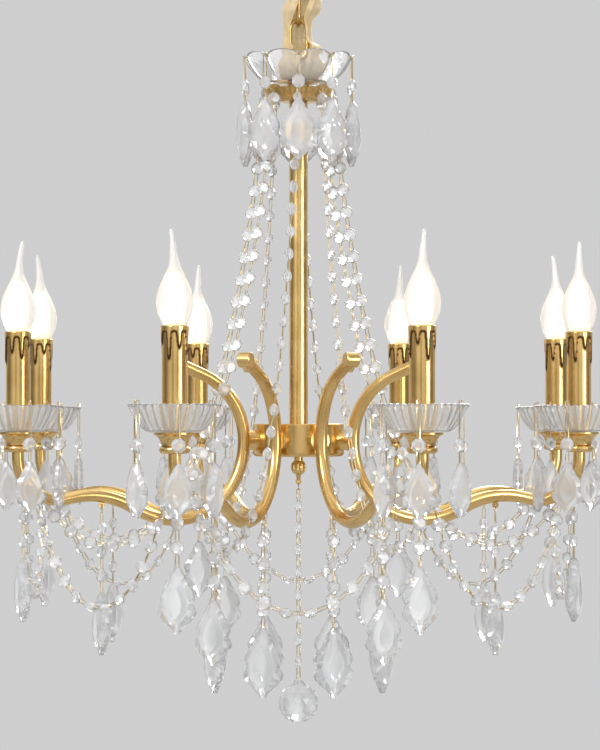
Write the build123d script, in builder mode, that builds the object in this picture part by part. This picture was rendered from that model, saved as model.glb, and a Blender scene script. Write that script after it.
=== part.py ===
"""A crystal chandelier: eight scrolled brass arms with candle lamps, strung with faceted glass.

Millimetres, +Z up. The origin is on the ceiling, on the chandelier's axis, and everything hangs below it.
"""

import os
from math import asinh, cos, cosh, radians, sin, sinh

from build123d import *

os.makedirs("parts", exist_ok=True)

# Clearances
seat_gap = 0.3  # between a hung piece and what carries it
slip_fit = 0.08  # radial, of a pin or a lamp base in its hole
bore_gap = 0.2  # radial, of a hole round a threaded stud or nipple

# Ceiling fitting
canopy_d = 110
canopy_h = 24
canopy_wall = 1.5
canopy_rim_h = 5
bracket_l = 88
bracket_w = 18
bracket_t = 2.5
ceiling_hole_spacing = 66
ceiling_hole_d = 5
stud_d = 10  # threaded stud of both loops
canopy_collar_d = 22
canopy_collar_h = 4

# Chain and its loops
chain_wire = 4.5
link_l = 44
link_w = 23
loop_d = 24
loop_sink = 1.5  # how deep a loop's ring is let into its collar
loop_collar_d = 20
loop_collar_h = 8.5
loop_stud_l = 30

# Gathered cloth sleeve round the chain
sleeve_wall = 1.2
sleeve_slit = 22

# Top dish and the cup under it
dish_d = 119
dish_h = 31
dish_base_d = 50
dish_wall = 3
dish_petals = 10
petal_r = 30
cusp_notch_r = 4
cup_d = 75
cup_h = 16
cup_base_d = 24
cup_wall = 1.8
cup_boss_d = 22
cup_boss_h = 18
cup_flutes = 24
cup_flute_r = 2.6
cup_hole_inset = 4.5
strand_hole_r = 1.6
strand_top_drop = 3  # how far under the cup's rim a long strand starts, in its hole

# Stem and hub
stem_d = 19
stem_wall = 2.5
stem_l = 330
hub_d = 93
hub_h = 33.5
hub_wall = 2.5
hub_edge_r = 4
hub_cover_t = 2.5
collar_d = 20
collar_l = 8

# Bottom finial, and the eyes and bails that crystals hang by
finial_d = 16
finial_neck_d = 9
finial_neck_h = 3
finial_tip_h = 5
finial_flutes = 12
finial_flute_r = 1.2
finial_stud_l = 8
eye_r = 3.2
eye_t = 1.6
eye_pin_r = 1.0
bail_l = 7
bail_w = 5
bail_wire = 1.0

# Arms: tangent arcs from the hub collar, each a radius and a turn, in the arm's own upright plane
arm_count = 8
arm_tube_d = 12
scroll_arc = (72, 67)
scroll_straight = 33.5
first_arc = (90, 26)
loop_arc_in = (72, 32)
loop_arc_out = (72, 37)
rise_arc = (88, 26)
hump_arc_in = (90, 22)
hump_arc_out = (90, 23)
end_arc_in = (42, 60)
end_arc_radius = 42
arm_tip_straight = 5.5
knob_d = 15
knob_l = 13.5
knob_seat = 3
end_pin_d = 2
end_pin_l = 24

# Candle end, from the arm's tip upwards
nipple_d = 9.5
nut_d = 28.7
nut_h = 7
candle_cup_d = 39
candle_cup_base_d = 25
candle_cup_h = 12.3
candle_cup_lip = 1.6
bobeche_d = 88
bobeche_base_d = 42
bobeche_h = 27
bobeche_wall = 3
bobeche_flutes = 24
bobeche_flute_r = 3
bobeche_drops = 6
wire_hole_inset = 3
wire_hole_r = 1.1
candle_d = 23.8
candle_wall = 1.4
candle_h = 96
drip_collar_h = 9
drip_d = 4.2
drip_lengths = (34, 17, 26, 12, 30, 19, 36, 14, 23)
socket_d = 19
socket_h = 87
lamp_base_d = 14
lamp_base_l = 22
bulb_d = 35
bulb_l = 98
bulb_tip_d = 1.8
bulb_bend = 4.5

# Crystals
bead_d = 14
bead_t = 7
bead_pitch = 23
link_wire_r = 0.7
link_end_gap = 0.5
strand_curve = 61.7  # catenary parameter of the strands from the cup to the arm tips
strand_side = 10.5  # how far beside the arm such a strand ends
swag_curve = 54.5  # catenary parameter of the swags between neighbouring arm tips
swag_twist = 40  # how far each swag bead is turned past the last
long_leaf = (70, 42, 16)  # length, width and thickness
mid_leaf = (63, 38, 14)
small_leaf = (50, 30, 11)
low_drop_beads = 4
hump_drop_beads = 3
end_drop_beads = 2
pendant_beads = 8
ball_d = 41
ball_cone_h = 6

# Heights of the stack, down from the ceiling
canopy_z = -canopy_h
wire_gap = chain_wire + 0.2  # between the axes of two wires that hang in each other
loop_centre_r = (loop_d - chain_wire) / 2
link_pitch = link_l - chain_wire
upper_loop_z = canopy_z - canopy_collar_h - loop_d / 2 + loop_sink
upper_link_top = upper_loop_z - loop_centre_r + wire_gap
lower_link_top = upper_link_top - link_pitch + wire_gap
stem_loop_top = lower_link_top - link_pitch + wire_gap
stem_loop_z = stem_loop_top - loop_centre_r
dish_floor_z = stem_loop_z - loop_d / 2 + loop_sink - loop_collar_h
dish_z = dish_floor_z - dish_wall
cup_z = dish_z - cup_boss_h
hub_z = cup_z - stem_l
hub_mid_z = hub_z - hub_h / 2
hub_bottom_z = hub_z - hub_h
arm_turn = 360 / arm_count


def save(part, name):
    """Labels a finished piece and writes it."""
    part.label = name
    export_step(part, f"parts/{name}.step")


def save_group(solids, name):
    """Writes several loose solids as one node."""
    export_step(Compound(label=name, children=list(solids)), f"parts/{name}.step")


def about_axis(part, count=arm_count, first=arm_turn / 2):
    """Copies of a piece at equal turns about the chandelier's axis."""
    return [part.rotate(Axis.Z, first + 360 / count * i) for i in range(count)]


def along_arc(start, radius, turn):
    """The point and heading at the end of an arc that leaves start and turns left by turn degrees."""
    (r, z), heading = start
    side = 1 if turn > 0 else -1
    h, k = radians(heading), radians(heading + turn)
    return (r + side * radius * (sin(k) - sin(h)), z - side * radius * (cos(k) - cos(h))), heading + turn


# The arm's route, as stations of a point and a heading
scroll_start = (hub_d / 2 + collar_l + arm_tube_d / 2, hub_mid_z)
lower_arcs = [first_arc, loop_arc_in, loop_arc_out, rise_arc]
lower_arcs += [(hump_arc_in[0], -hump_arc_in[1]), (hump_arc_out[0], -hump_arc_out[1]), end_arc_in]
lower_arcs.append((end_arc_radius, 180 - sum(turn for _, turn in lower_arcs)))
stations = [(scroll_start, -90)]
for radius, turn in lower_arcs:
    stations.append(along_arc(stations[-1], radius, turn))
low_station, hump_station, end_station, tip_station = stations[2], stations[5], stations[7], stations[8]
scroll_end, scroll_heading = along_arc((scroll_start, 90), scroll_arc[0], -scroll_arc[1])
knob_at = (
    scroll_end[0] + scroll_straight * cos(radians(scroll_heading)),
    scroll_end[1] + scroll_straight * sin(radians(scroll_heading)),
)
candle_r = tip_station[0][0]
nut_z = tip_station[0][1] + arm_tip_straight
candle_cup_z = nut_z + nut_h
bobeche_z = candle_cup_z + candle_cup_h
candle_z = bobeche_z + bobeche_wall
candle_top_z = candle_z + candle_h
socket_top_z = candle_z + socket_h


def eye_centre(station):
    """Where the hole of a hanging eye lies, on the tube's under side at a station."""
    (r, z), heading = station
    reach = arm_tube_d / 2 + eye_r - eye_t / 2
    return r + reach * sin(radians(heading)), z - reach * cos(radians(heading))


low_eye, hump_eye, end_eye = eye_centre(low_station), eye_centre(hump_station), eye_centre(end_station)

# ---- Ceiling fitting
with BuildPart() as ceiling_bracket:
    with BuildSketch(Plane.XY.offset(-bracket_t)):
        SlotOverall(bracket_l, bracket_w)
        Circle(stud_d / 2 + bore_gap, mode=Mode.SUBTRACT)
        with GridLocations(ceiling_hole_spacing, 0, 2, 1):
            Circle(ceiling_hole_d / 2, mode=Mode.SUBTRACT)
    extrude(amount=bracket_t)
save(ceiling_bracket.part, "ceiling_bracket")

with BuildPart() as canopy:
    dome_h = canopy_h - canopy_rim_h
    shoulder_r = canopy_collar_d / 2
    for wall, mode in ((0, Mode.ADD), (canopy_wall, Mode.SUBTRACT)):
        rim_r = canopy_d / 2 - wall
        with BuildSketch(Plane.XZ):
            with BuildLine():
                top, middle = (shoulder_r, canopy_z + wall), (shoulder_r, -canopy_rim_h)
                Polyline(top, (0, canopy_z + wall), (0, 0), (rim_r, 0), (rim_r, -canopy_rim_h))
                EllipticalCenterArc(middle, rim_r - shoulder_r, dome_h - wall, start_angle=270, arc_size=90)
            make_face()
        revolve(axis=Axis.Z, mode=mode)
    with Locations((0, 0, canopy_z)):
        Hole(stud_d / 2 + bore_gap, depth=canopy_h)
save(canopy.part, "canopy")


def loop_ring(centre_z, turn):
    """A loop's ring: turn 0 shows its face to the front, and 90 its edge."""
    return Pos(0, 0, centre_z) * Rot(0, 0, turn) * Rot(90, 0, 0) * Torus(loop_centre_r, chain_wire / 2)


upper_ring = loop_ring(upper_loop_z, 0)
with BuildPart() as canopy_loop:
    with BuildSketch(Plane.XY.offset(canopy_z)):
        Circle(canopy_collar_d / 2)
    extrude(amount=-canopy_collar_h, taper=15)
    with BuildSketch(Plane.XY.offset(canopy_z - canopy_collar_h / 2)):
        Circle(stud_d / 2)
    extrude(amount=canopy_h + canopy_collar_h / 2 - seat_gap)
    add(upper_ring)
save(canopy_loop.part, "canopy_loop")


# ---- Chain: the upper link stands edge-on to the front, and the lower link faces it
def chain_link(top_z, across):
    """An oval link of round wire, upright along the direction across, its top wire's axis at top_z."""
    half_w, half_s = (link_w - chain_wire) / 2, (link_l - link_w) / 2
    middle = -link_pitch / 2
    plane = Plane(origin=(0, 0, top_z), x_dir=across, z_dir=Vector(across).cross(Vector(0, 0, 1)))
    with BuildPart() as link:
        with BuildLine(plane) as path:
            Line((half_w, middle), (half_w, middle + half_s))
            ThreePointArc((half_w, middle + half_s), (0, 0), (-half_w, middle + half_s))
            Line((-half_w, middle + half_s), (-half_w, middle - half_s))
            ThreePointArc((-half_w, middle - half_s), (0, -link_pitch), (half_w, middle - half_s))
            Line((half_w, middle - half_s), (half_w, middle))
        wire = path.wire()
        with BuildSketch(Plane(origin=wire @ 0, z_dir=wire % 0)):
            Circle(chain_wire / 2)
        sweep(path=wire)
    return link.part


save(chain_link(upper_link_top, (0, 1, 0)), "chain_link_upper")
save(chain_link(lower_link_top, (1, 0, 0)), "chain_link_lower")

# The cloth sleeve is gathered round the chain and stands in the dish: each ring is a height above the
# dish's floor, the ring's radius and how far it lies off the axis
sleeve_rings = [
    (seat_gap, 17, 0),
    (9, 23, 3),
    (19, 25, 3),
    (27, 20.5, 2),
    (34, 22.5, 4),
    (42, 16.5, -0.5),
    (58, 16, -1),
    (66, 17.5, 0),
    (74, 22, 3),
    (85, 19.5, 6),
    (98, 21, 3),
    (108, 17, 0),
]
with BuildPart() as chain_sleeve:
    for wall, mode in ((0, Mode.ADD), (sleeve_wall, Mode.SUBTRACT)):
        for lift, ring_r, off in sleeve_rings:
            with BuildSketch(Plane.XY.offset(dish_floor_z + lift)):
                with Locations((off, 0)):
                    Circle(ring_r - wall)
        loft(ruled=True, mode=mode)
    slit_h = sleeve_rings[-1][0]
    with Locations((0, -dish_base_d / 2 - chain_wire / 2, dish_floor_z + slit_h / 2)):
        Box(sleeve_slit, dish_base_d, slit_h + chain_wire, mode=Mode.SUBTRACT)
save(chain_sleeve.part, "chain_sleeve")

lower_ring = loop_ring(stem_loop_z, 90)
with BuildPart() as stem_loop:
    with BuildSketch(Plane.XY.offset(dish_floor_z)):
        Circle(loop_collar_d / 2)
    extrude(amount=loop_collar_h, taper=10)
    with BuildSketch(Plane.XY.offset(dish_floor_z)):
        Circle(stud_d / 2)
    extrude(amount=-loop_stud_l)
    add(lower_ring)
save(stem_loop.part, "stem_loop")


# ---- Top dish of glass petals, and the brass cup that carries it
def bowl_section(base_r, rim_r, height, wall, bulge, floor_z):
    """The upright section of an open bowl: two bowed outlines a wall apart, from the axis outwards."""
    mid_r, mid_h = base_r + (rim_r - base_r) * bulge[0], height * bulge[1]
    top_z = floor_z + height
    slant = wall * 0.7
    with BuildSketch(Plane.XZ) as section:
        with BuildLine():
            ThreePointArc((base_r, floor_z), (mid_r, floor_z + mid_h), (rim_r, top_z))
            Line((rim_r, top_z), (rim_r - slant, top_z))
            inner_foot = (base_r - slant, floor_z + wall)
            ThreePointArc((rim_r - slant, top_z), (mid_r - slant, floor_z + mid_h + slant), inner_foot)
            Polyline(inner_foot, (0, floor_z + wall), (0, floor_z), (base_r, floor_z))
        make_face()
    return section.sketch


def polar(r, angle):
    """The flat point at a radius and an angle in degrees."""
    return r * cos(radians(angle)), r * sin(radians(angle))


petal_ring_r = dish_d / 2 - petal_r
petal_turn = 360 / dish_petals
half_petal = radians(petal_turn / 2)
cusp_r = petal_ring_r * cos(half_petal) + (petal_r**2 - (petal_ring_r * sin(half_petal)) ** 2) ** 0.5
with BuildPart() as top_dish:
    dish_section = bowl_section(dish_base_d / 2, dish_d / 2, dish_h, dish_wall, (0.62, 0.36), dish_z)
    revolve(dish_section.rotate(Axis.Z, petal_turn / 2), axis=Axis.Z)  # the seam lies at a cusp
    with BuildSketch(Plane.XY.offset(dish_z)):
        with BuildLine():
            for turn in range(dish_petals):
                cusp = petal_turn * turn - 90
                tip = polar(dish_d / 2, cusp + petal_turn / 2)
                ThreePointArc(polar(cusp_r, cusp), tip, polar(cusp_r, cusp + petal_turn))
        make_face()
    extrude(amount=dish_h, mode=Mode.INTERSECT)
    with PolarLocations(dish_d / 2, dish_petals, start_angle=-90):
        with Locations(Location((0, 0, dish_z + dish_h), (0, 90, 0))):
            Cylinder(cusp_notch_r, dish_d / 3, mode=Mode.SUBTRACT)
    with Locations((0, 0, dish_z + dish_wall)):
        Hole(stud_d / 2 + bore_gap, depth=dish_wall)
save(top_dish.part, "top_dish")

with BuildPart() as top_cup:
    revolve(bowl_section(cup_base_d / 2, cup_d / 2, cup_h, cup_wall, (0.66, 0.34), cup_z), axis=Axis.Z)
    with PolarLocations(cup_d / 2 + cup_flute_r * 0.4, cup_flutes):
        with Locations((0, 0, cup_z + cup_h / 2)):
            Cylinder(cup_flute_r, cup_h + cup_wall, mode=Mode.SUBTRACT)
    with PolarLocations(cup_d / 2 - cup_hole_inset, arm_count, start_angle=0):
        with Locations((0, 0, cup_z + cup_h / 2)):
            Cylinder(strand_hole_r, cup_h + cup_wall, mode=Mode.SUBTRACT)
    with BuildSketch(Plane.XY.offset(cup_z)):
        Circle(cup_boss_d / 2)
    extrude(amount=cup_boss_h)
    with Locations((0, 0, dish_z)):
        Hole(stud_d / 2 + bore_gap, depth=cup_boss_h)
save(top_cup.part, "top_cup")

# ---- Stem and hub
with BuildPart() as stem:
    with BuildSketch(Plane.XY.offset(hub_z)):
        Circle(stem_d / 2)
        Circle(stem_d / 2 - stem_wall, mode=Mode.SUBTRACT)
    extrude(amount=stem_l)
save(stem.part, "stem")

with BuildPart() as hub:
    with BuildSketch(Plane.XY.offset(hub_bottom_z)):
        Circle(hub_d / 2)
    extrude(amount=hub_h)
    fillet(hub.edges().group_by(Axis.Z)[0], hub_edge_r)
    fillet(hub.edges().group_by(Axis.Z)[-1], hub_wall / 2)
    with BuildSketch(Plane.XY.offset(hub_bottom_z)):
        Circle(hub_d / 2 - hub_edge_r)
    extrude(amount=hub_h - hub_wall, mode=Mode.SUBTRACT)
save(hub.part, "hub")

with BuildPart() as hub_cover:
    with BuildSketch(Plane.XY.offset(hub_bottom_z)):
        Circle(hub_d / 2 - hub_edge_r - slip_fit)
        Circle(finial_neck_d / 2 - slip_fit, mode=Mode.SUBTRACT)
    extrude(amount=hub_cover_t)
save(hub_cover.part, "hub_cover")

with BuildPart() as arm_collar:
    with BuildSketch(Plane.YZ.offset(hub_d / 2 - hub_wall / 2)):
        with Locations((0, hub_mid_z)):
            Circle(collar_d / 2)
    extrude(amount=collar_l + hub_wall / 2 + arm_tube_d / 4)
    with BuildSketch(Plane.XY.offset(hub_bottom_z)):
        Circle(hub_d / 2 + slip_fit)
    extrude(amount=hub_h, mode=Mode.SUBTRACT)
    with Locations((scroll_start[0], 0, hub_mid_z)):
        Cylinder(arm_tube_d / 2 + slip_fit, collar_d * 2, mode=Mode.SUBTRACT)
save_group([solid for part in about_axis(arm_collar.part) for solid in part.solids()], "arm_collars")


def eye_plate(r, z):
    """A round plate with a hole, upright in the arm's plane."""
    with BuildPart() as plate:
        with BuildSketch(Plane.XZ.offset(-eye_t / 2)):
            with Locations((r, z)):
                Circle(eye_r)
                Circle(eye_pin_r + slip_fit, mode=Mode.SUBTRACT)
        extrude(amount=eye_t)
    return plate.part


def bail(r, z):
    """A square wire loop whose round top pin turns in an eye plate's hole."""
    leg_y = (bail_w - bail_wire) / 2
    with BuildPart() as loop:
        with Locations(Location((r, 0, z), (90, 0, 0))):
            Cylinder(eye_pin_r, bail_w)
        with Locations((r, leg_y, z - bail_l / 2), (r, -leg_y, z - bail_l / 2)):
            Box(bail_wire, bail_wire, bail_l)
        with Locations((r, 0, z - bail_l)):
            Box(bail_wire, bail_w, bail_wire)
    return loop.part


finial_top_z = hub_bottom_z
finial_eye_z = finial_top_z - finial_neck_h - finial_d - finial_tip_h - eye_r / 2
finial_plate = eye_plate(0, finial_eye_z)
with BuildPart() as hub_finial:
    with Locations((0, 0, finial_top_z - finial_neck_h - finial_d / 2)):
        Sphere(finial_d / 2)
    with PolarLocations(finial_d / 2 + finial_flute_r * 0.3, finial_flutes):
        with Locations((0, 0, finial_top_z - finial_neck_h - finial_d / 2)):
            Cylinder(finial_flute_r, finial_d, mode=Mode.SUBTRACT)
    with BuildSketch(Plane.XY.offset(finial_top_z)):
        Circle(finial_neck_d / 2)
    extrude(amount=-finial_neck_h - finial_d / 4)
    with BuildSketch(Plane.XY.offset(finial_top_z)):
        Circle(finial_neck_d / 2 - 2 * slip_fit)
    extrude(amount=finial_stud_l)
    with BuildSketch(Plane.XY.offset(finial_eye_z + eye_r / 2)):
        Circle(eye_r / 2)
    extrude(amount=finial_tip_h + finial_d / 4, taper=-12)
    add(finial_plate)
save(hub_finial.part, "hub_finial")

# ---- Arms
eyes = (low_eye, hump_eye, end_eye)
eye_bore = Rot(90, 0, 0) * Cylinder(eye_pin_r + slip_fit, eye_t * 2)
with BuildPart() as arm:
    with BuildLine(Plane.XZ) as route:
        back = scroll_straight - knob_d / 2 + knob_seat
        start = (
            scroll_end[0] + back * cos(radians(scroll_heading)),
            scroll_end[1] + back * sin(radians(scroll_heading)),
        )
        Line(start, scroll_end)
        JernArc(scroll_end, (scroll_end[0] - start[0], scroll_end[1] - start[1]), *scroll_arc)
        for (point, heading), (radius, turn) in zip(stations, lower_arcs):
            JernArc(point, (cos(radians(heading)), sin(radians(heading))), radius, turn)
        Line(tip_station[0], (candle_r, nut_z))
    with BuildSketch(Plane(origin=route.wire() @ 0, z_dir=route.wire() % 0)):
        Circle(arm_tube_d / 2)
    sweep(path=route.wire())
    with BuildSketch(Plane.XY.offset(nut_z)):
        with Locations((candle_r, 0)):
            Circle(nipple_d / 2)
    extrude(amount=candle_z - nut_z + bobeche_wall)
    with Locations(Location((end_station[0][0], 0, end_station[0][1]), (90, 0, 0))):
        Cylinder(end_pin_d / 2, end_pin_l)
    add([eye_plate(*eye) for eye in eyes])
    add([Pos(eye[0], 0, eye[1]) * eye_bore for eye in eyes], mode=Mode.SUBTRACT)
for number, turned in enumerate(about_axis(arm.part), 1):
    save(turned, f"arm_{number}")

knob_plane = Plane(
    origin=(knob_at[0], 0, knob_at[1]),
    z_dir=(-cos(radians(scroll_heading)), 0, -sin(radians(scroll_heading))),
)
with BuildPart() as arm_knob:
    with BuildSketch(Plane.XZ.offset(-knob_l / 2)):
        with Locations(knob_at):
            Circle(knob_d / 2)
    extrude(amount=knob_l)
    chamfer(arm_knob.edges().filter_by(GeomType.CIRCLE), knob_d / 15)
    with BuildSketch(knob_plane.offset(knob_d / 2 - knob_seat)):
        Circle(arm_tube_d / 2 + slip_fit)
    extrude(amount=knob_d, mode=Mode.SUBTRACT)
save_group([solid for part in about_axis(arm_knob.part) for solid in part.solids()], "arm_knobs")

# ---- Candle ends
nipple_bore_r = nipple_d / 2 + bore_gap
with BuildPart() as cup_nut:
    with BuildSketch(Plane.XZ):
        with BuildLine():
            edge_r = nut_d / 2 - nut_h / 2
            low_edge, high_edge = (candle_r + edge_r, nut_z), (candle_r + edge_r, nut_z + nut_h)
            ThreePointArc(low_edge, (candle_r + nut_d / 2, nut_z + nut_h / 2), high_edge)
            bore_x = candle_r + nipple_bore_r
            Polyline(high_edge, (bore_x, nut_z + nut_h), (bore_x, nut_z), low_edge)
        make_face()
    revolve(axis=Axis((candle_r, 0, 0), (0, 0, 1)))
save_group([solid for part in about_axis(cup_nut.part) for solid in part.solids()], "cup_nuts")

with BuildPart() as candle_cup:
    with BuildSketch(Plane.XZ):
        with BuildLine():
            foot = (candle_r + candle_cup_base_d / 2, candle_cup_z)
            lip_z = bobeche_z - candle_cup_lip
            lip = (candle_r + candle_cup_d / 2, lip_z)
            waist_r = candle_cup_base_d * 0.32 + candle_cup_d * 0.155
            ThreePointArc(foot, (candle_r + waist_r, candle_cup_z + candle_cup_h / 2), lip)
            Polyline(
                lip,
                (candle_r + candle_cup_d / 2, bobeche_z),
                (candle_r + nipple_bore_r, bobeche_z),
                (candle_r + nipple_bore_r, candle_cup_z),
                foot,
            )
        make_face()
    revolve(axis=Axis((candle_r, 0, 0), (0, 0, 1)))
save_group([solid for part in about_axis(candle_cup.part) for solid in part.solids()], "candle_cups")

drop_circle_r = bobeche_d / 2 - wire_hole_inset
with BuildPart() as bobeche:
    glass_bulge = (0.66, 0.42)
    revolve(
        bowl_section(bobeche_base_d / 2, bobeche_d / 2, bobeche_h, bobeche_wall, glass_bulge, bobeche_z),
        axis=Axis.Z,
    )
    flute_ring_r = bobeche_d / 2 + bobeche_flute_r * 0.75
    with PolarLocations(flute_ring_r, bobeche_flutes, start_angle=180 / bobeche_flutes):
        with Locations((0, 0, bobeche_z + bobeche_h)):
            Cylinder(bobeche_flute_r, bobeche_h, mode=Mode.SUBTRACT)
    with PolarLocations(drop_circle_r, bobeche_drops, start_angle=180 / bobeche_drops):
        with Locations((0, 0, bobeche_z + bobeche_h)):
            Cylinder(wire_hole_r, bobeche_h, mode=Mode.SUBTRACT)
    with Locations((0, 0, bobeche_z + bobeche_wall)):
        Hole(nipple_bore_r, depth=bobeche_wall)
for number, turned in enumerate(about_axis(Pos(candle_r, 0, 0) * bobeche.part), 1):
    save(turned, f"bobeche_{number}")

with BuildPart() as candle_sleeve:
    with BuildSketch(Plane.XY.offset(candle_z)):
        Circle(candle_d / 2)
    extrude(amount=candle_h)
    with BuildSketch(Plane.XY.offset(candle_top_z)):
        Circle(candle_d / 2 + drip_d / 2.4)
    extrude(amount=-drip_collar_h, taper=8)
    fillet(candle_sleeve.edges().group_by(Axis.Z)[-1], 1)
    for index, length in enumerate(drip_lengths):
        with PolarLocations(candle_d / 2, 1, start_angle=360 / len(drip_lengths) * index):
            with Locations((0, 0, candle_top_z - 1 - length / 2)):
                Cylinder(drip_d / 2.4, length)
            with Locations((0, 0, candle_top_z - 1 - length)):
                Sphere(drip_d / 2.4)
    with BuildSketch(Plane.XY.offset(candle_z)):
        Circle(candle_d / 2 - candle_wall)
    extrude(amount=candle_h, mode=Mode.SUBTRACT)
sleeve_at_arm = Pos(candle_r, 0, 0) * candle_sleeve.part
save_group([solid for part in about_axis(sleeve_at_arm) for solid in part.solids()], "candle_sleeves")

with BuildPart() as lamp_socket:
    with BuildSketch(Plane.XY.offset(candle_z)):
        Circle(socket_d / 2)
    extrude(amount=socket_h)
    with Locations((0, 0, socket_top_z)):
        Hole(lamp_base_d / 2 + slip_fit, depth=lamp_base_l + 2 * seat_gap)
    with Locations((0, 0, candle_z)):
        Cylinder(nipple_bore_r, 2 * (bobeche_wall + seat_gap), mode=Mode.SUBTRACT)
socket_at_arm = Pos(candle_r, 0, 0) * lamp_socket.part
save_group([solid for part in about_axis(socket_at_arm) for solid in part.solids()], "lamp_sockets")

# A flame-shaped bulb: each section is a share of the length, a share of the widest radius, and of the bend
bulb_sections = [
    (0.00, 0.42, 0),
    (0.08, 0.55, 0),
    (0.20, 0.84, 0),
    (0.33, 1.00, 0),
    (0.46, 0.92, 0),
    (0.60, 0.66, 0.02),
    (0.73, 0.37, 0.10),
    (0.85, 0.17, 0.35),
    (1.00, bulb_tip_d / bulb_d, 1),
]
bulb_z = socket_top_z + seat_gap
with BuildPart() as bulb_glass:
    for share, width, bend in bulb_sections:
        with BuildSketch(Plane.XY.offset(bulb_z + share * bulb_l)):
            with Locations((bend * bulb_bend, 0)):
                Circle(width * bulb_d / 2)
    loft()
with BuildPart() as bulb_base:
    with BuildSketch(Plane.XY.offset(bulb_z)):
        Circle(lamp_base_d / 2)
    extrude(amount=-lamp_base_l)
for number in range(1, arm_count + 1):
    bend_way = 100 * number + 20
    glass = Pos(candle_r, 0, 0) * bulb_glass.part.rotate(Axis.Z, bend_way)
    base = Pos(candle_r, 0, 0) * bulb_base.part
    facing = arm_turn * (number - 0.5)
    save_group([glass.rotate(Axis.Z, facing).solid(), base.rotate(Axis.Z, facing).solid()], f"bulb_{number}")

# ---- Crystals. Each is faceted: a flat outline drawn up to a point on both sides
with BuildPart() as bead:
    with BuildSketch() as girdle:
        RegularPolygon(bead_d / 2, 8, rotation=22.5)
    loft(sections=[girdle.sketch.face(), Vertex(0, 0, bead_t / 2)])
    mirror(about=Plane.XY)

# Half of the leaf's scalloped outline: shares of its half width and of its length below the top
leaf_outline = [(0.12, 0.0), (0.30, 0.10), (0.38, 0.26), (0.86, 0.44), (1.0, 0.63), (0.62, 0.76)]
leaf_outline += [(0.42, 0.90), (0.10, 1.0)]


def leaf(length, width, thickness):
    """A pendalogue leaf that hangs from the origin, its face to the front."""
    right = [(width / 2 * across, -length * fall) for across, fall in leaf_outline]
    left = [(-x, z) for x, z in reversed(right)]
    with BuildPart() as crystal:
        with BuildSketch(Plane.XZ) as outline:
            Polygon(*right, *left, align=None)
        loft(sections=[outline.sketch.face(), Vertex(0, -thickness / 2, -length * 0.6)])
        mirror(about=Plane.XZ)
    return crystal.solid()


def wire_bar(start, end):
    """A straight three-sided wire link between two points."""
    with BuildPart() as bar:
        with BuildSketch(Plane(origin=start, z_dir=end - start)):
            RegularPolygon(link_wire_r, 3)
        extrude(amount=(end - start).length)
    return bar.solid()


def between(start, end, start_room, end_room):
    """A wire link that stops short of both its ends."""
    way = (end - start).normalized()
    return wire_bar(start + way * start_room, end - way * end_room)


bead_room = bead_d / 2 * cos(radians(22.5)) + link_end_gap


def strand(at, tangent, length, side, twist=0):
    """Beads at even steps along a curve, with wire links between them and to both its ends."""
    count = round(length / bead_pitch)
    step = length / count
    centres = [at((i + 0.5) * step) for i in range(count)]
    pieces = []
    for i, centre in enumerate(centres):
        way = tangent((i + 0.5) * step)
        face = side.rotate(Axis((0, 0, 0), way), twist * i)
        pieces.append(bead.solid().moved(Plane(origin=centre, x_dir=way, z_dir=face).location))
    pieces.append(between(at(0), centres[0], 0, bead_room))
    for one, two in zip(centres, centres[1:]):
        pieces.append(between(one, two, bead_room, bead_room))
    pieces.append(between(centres[-1], at(length), bead_room, 0))
    return pieces


def catenary(start, end, curve):
    """A hanging line between two points: its point and direction at a distance along it, and its length."""
    across = Vector(end.X - start.X, end.Y - start.Y, 0)
    span, rise = across.length, end.Z - start.Z
    low = span / 2 - curve * asinh(rise / (2 * curve * sinh(span / (2 * curve))))
    begin = curve * sinh(-low / curve)
    total = curve * sinh((span - low) / curve) - begin
    level = across.normalized()

    def at(distance):
        x = curve * asinh((begin + distance) / curve)
        return start + level * (x + low) + Vector(0, 0, curve * (cosh(x / curve) - cosh(low / curve)))

    def tangent(distance):
        slope = (begin + distance) / curve
        return (level + Vector(0, 0, slope)).normalized()

    return at, tangent, total, level


cup_hole_r = cup_d / 2 - cup_hole_inset
strand_top = Vector(*polar(cup_hole_r, arm_turn / 2), cup_z + cup_h - strand_top_drop)
pin_r, pin_z = end_station[0]
strand_foot = Vector(pin_r - end_pin_d / 2 - link_wire_r - seat_gap, strand_side, pin_z)
at, tangent, length, level = catenary(strand_top, strand_foot, strand_curve)
one_strand = Compound(children=strand(at, tangent, length, Vector(-level.Y, level.X, 0)))
save_group([solid for part in about_axis(one_strand) for solid in part.solids()], "long_strands")

swag_start = Vector(pin_r, end_pin_l / 2 + seat_gap + link_wire_r, pin_z)
swag_end = Vector(pin_r, -swag_start.Y, pin_z).rotate(Axis.Z, arm_turn)
at, tangent, length, level = catenary(swag_start, swag_end, swag_curve)
one_swag = Compound(children=strand(at, tangent, length, Vector(-level.Y, level.X, 0), swag_twist))
save_group([solid for part in about_axis(one_swag) for solid in part.solids()], "swags")


def hanging(top, top_wire, beads, leaf_size, face_turn=0):
    """A straight drop under a point: a wire, beads on their pitch and, if given, a leaf below the last."""
    down = Vector(0, 0, -1)
    across = Vector(0, 1, 0).rotate(Axis.Z, face_turn)
    first = top + down * (top_wire + bead_room)
    centres = [first + down * (bead_pitch * i) for i in range(beads)]
    pieces = [wire_bar(top, first - down * bead_room)]
    for centre in centres:
        side = down.cross(across)
        pieces.append(bead.solid().moved(Plane(origin=centre, x_dir=down, z_dir=side).location))
    for one, two in zip(centres, centres[1:]):
        pieces.append(between(one, two, bead_room, bead_room))
    if leaf_size:
        tail = bead_pitch - 2 * bead_room
        foot = centres[-1] + down * (bead_room + tail)
        pieces.append(wire_bar(centres[-1] + down * bead_room, foot))
        turned = leaf(*leaf_size).rotate(Axis.Z, 90 + face_turn)
        pieces.append(turned.moved(Location(foot + down * seat_gap)))
    return pieces


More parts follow.
